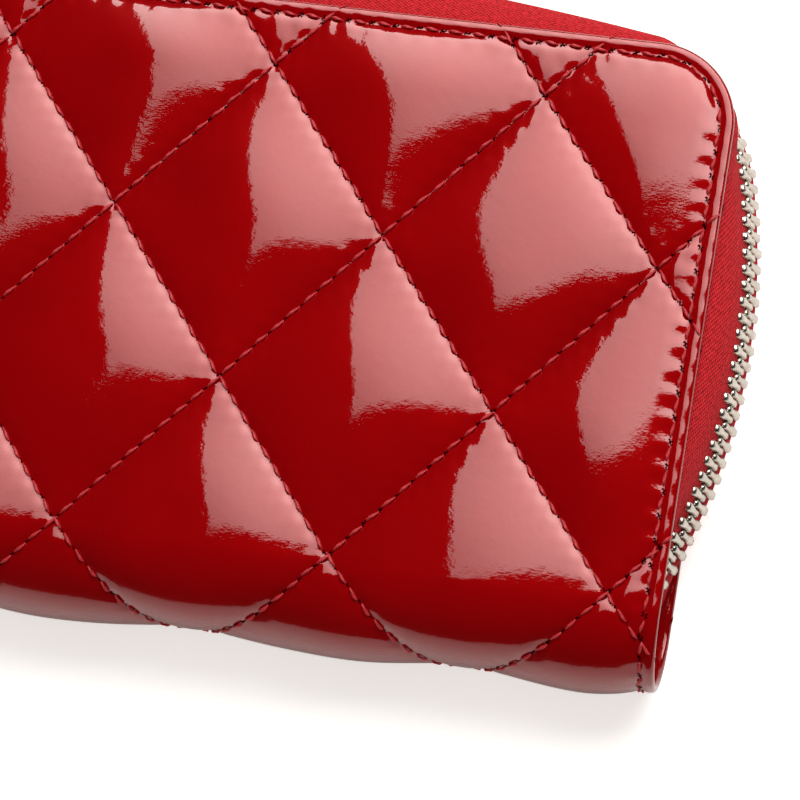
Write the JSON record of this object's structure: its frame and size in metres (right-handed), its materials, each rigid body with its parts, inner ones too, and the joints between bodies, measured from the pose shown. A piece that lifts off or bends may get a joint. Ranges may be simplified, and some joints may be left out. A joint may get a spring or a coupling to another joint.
{
  "type": "zip around wallet",
  "caption": "Long quilted patent leather wallet closed by a metal zip around three sides, with card slots, bill compartments and a zipped coin pocket.",
  "frame": {"origin": "middle of the back cover's outer face, on the surface that the wallet lies on", "axes": "+X along the wallet's length, +Y from the spine to the zip side, +Z from the back cover to the front cover"},
  "size_m": [0.21, 0.1084, 0.024],
  "materials": {
    "patent_leather": "glossy patent coat over deep red leather",
    "patent_tab": "glossy patent coat over deep red leather",
    "stiffener": "pressed fibre board, hidden under the lining",
    "lining_cloth": "plain woven cloth",
    "card_slot_leather": "semi-matte smooth leather",
    "zip_tape": "matte herringbone zip tape",
    "zip_metal": "nickel-plated, satin"
  },
  "bodies": {
    "back_cover": {"back_skin": "patent_leather", "back_spine": "patent_leather", "back_spine_lining": "lining_cloth", "back_stiffener": "stiffener", "back_lining": "lining_cloth", "back_card_slot_left_1": "card_slot_leather", "back_card_slot_left_2": "card_slot_leather", "back_card_slot_left_3": "card_slot_leather", "back_card_slot_left_4": "card_slot_leather", "back_card_slot_right_1": "card_slot_leather", "back_card_slot_right_2": "card_slot_leather", "back_card_slot_right_3": "card_slot_leather", "back_card_slot_right_4": "card_slot_leather", "back_gusset_left": "lining_cloth", "back_gusset_right": "lining_cloth", "back_tape": "zip_tape", "back_teeth": "zip_metal", "back_top_stop": "zip_metal", "bottom_stop": "zip_metal"},
    "front_cover": {"front_skin": "patent_leather", "front_spine": "patent_leather", "front_spine_lining": "lining_cloth", "front_stiffener": "stiffener", "front_lining": "lining_cloth", "front_card_slot_left_1": "card_slot_leather", "front_card_slot_left_2": "card_slot_leather", "front_card_slot_left_3": "card_slot_leather", "front_card_slot_left_4": "card_slot_leather", "front_card_slot_right_1": "card_slot_leather", "front_card_slot_right_2": "card_slot_leather", "front_card_slot_right_3": "card_slot_leather", "front_card_slot_right_4": "card_slot_leather", "front_gusset_left": "lining_cloth", "front_gusset_right": "lining_cloth", "front_tape": "zip_tape", "front_teeth": "zip_metal", "front_top_stop": "zip_metal"},
    "coin_pocket": {"coin_wall_back": "lining_cloth", "coin_wall_front": "lining_cloth", "coin_floor": "lining_cloth", "coin_seam_left": "lining_cloth", "coin_seam_right": "lining_cloth", "coin_chain": "zip_metal", "coin_tape_back": "zip_tape", "coin_tape_front": "zip_tape"},
    "coin_slider": {"coin_slider": "zip_metal", "coin_bail": "zip_metal"},
    "coin_pull": {"coin_pull": "zip_metal"},
    "slider": {"slider_outer_plate": "zip_metal", "slider_inner_plate": "zip_metal", "slider_bail": "zip_metal"},
    "pull_link": {"pull_link": "zip_metal"},
    "pull_tab": {"pull_tab": "patent_tab"}
  },
  "joints": [
    {"name": "cover_open", "type": "hinge", "parent": "back_cover", "child": "front_cover", "pos_m": [0, -0.05025, 0.012], "axis": [1, 0, 0], "range_deg": [0, 45]},
    {"name": "pocket_swing", "type": "hinge", "parent": "back_cover", "child": "coin_pocket", "pos_m": [0, -0.05025, 0.012], "axis": [1, 0, 0], "range_deg": [0, 22.5]},
    {"name": "slider_travel", "type": "hinge", "parent": "back_cover", "child": "slider", "pos_m": [0, 0.00625, 0.012], "axis": [0, 0, -1], "range_deg": [0, 28]},
    {"name": "link_swing", "type": "hinge", "parent": "slider", "child": "pull_link", "pos_m": [-0.10132, -0.0228, 0.012], "axis": [0, 0, 1], "range_deg": [0, 150]},
    {"name": "tab_swing", "type": "hinge", "parent": "pull_link", "child": "pull_tab", "pos_m": [-0.1036, -0.01204, 0.012], "axis": [0, 0, 1], "range_deg": [0, 60]},
    {"name": "coin_slider_travel", "type": "slide", "parent": "coin_pocket", "child": "coin_slider", "axis": [1, 0, 0], "range_m": [0, 0.14]},
    {"name": "coin_pull_swing", "type": "hinge", "parent": "coin_slider", "child": "coin_pull", "pos_m": [-0.07, 0.0425, 0.012], "axis": [0, 0, 1], "range_deg": [0, 25]}
  ],
  "couplings": [
    {"joint": "pocket_swing", "follows": "cover_open", "ratio": 0.5}
  ]
}
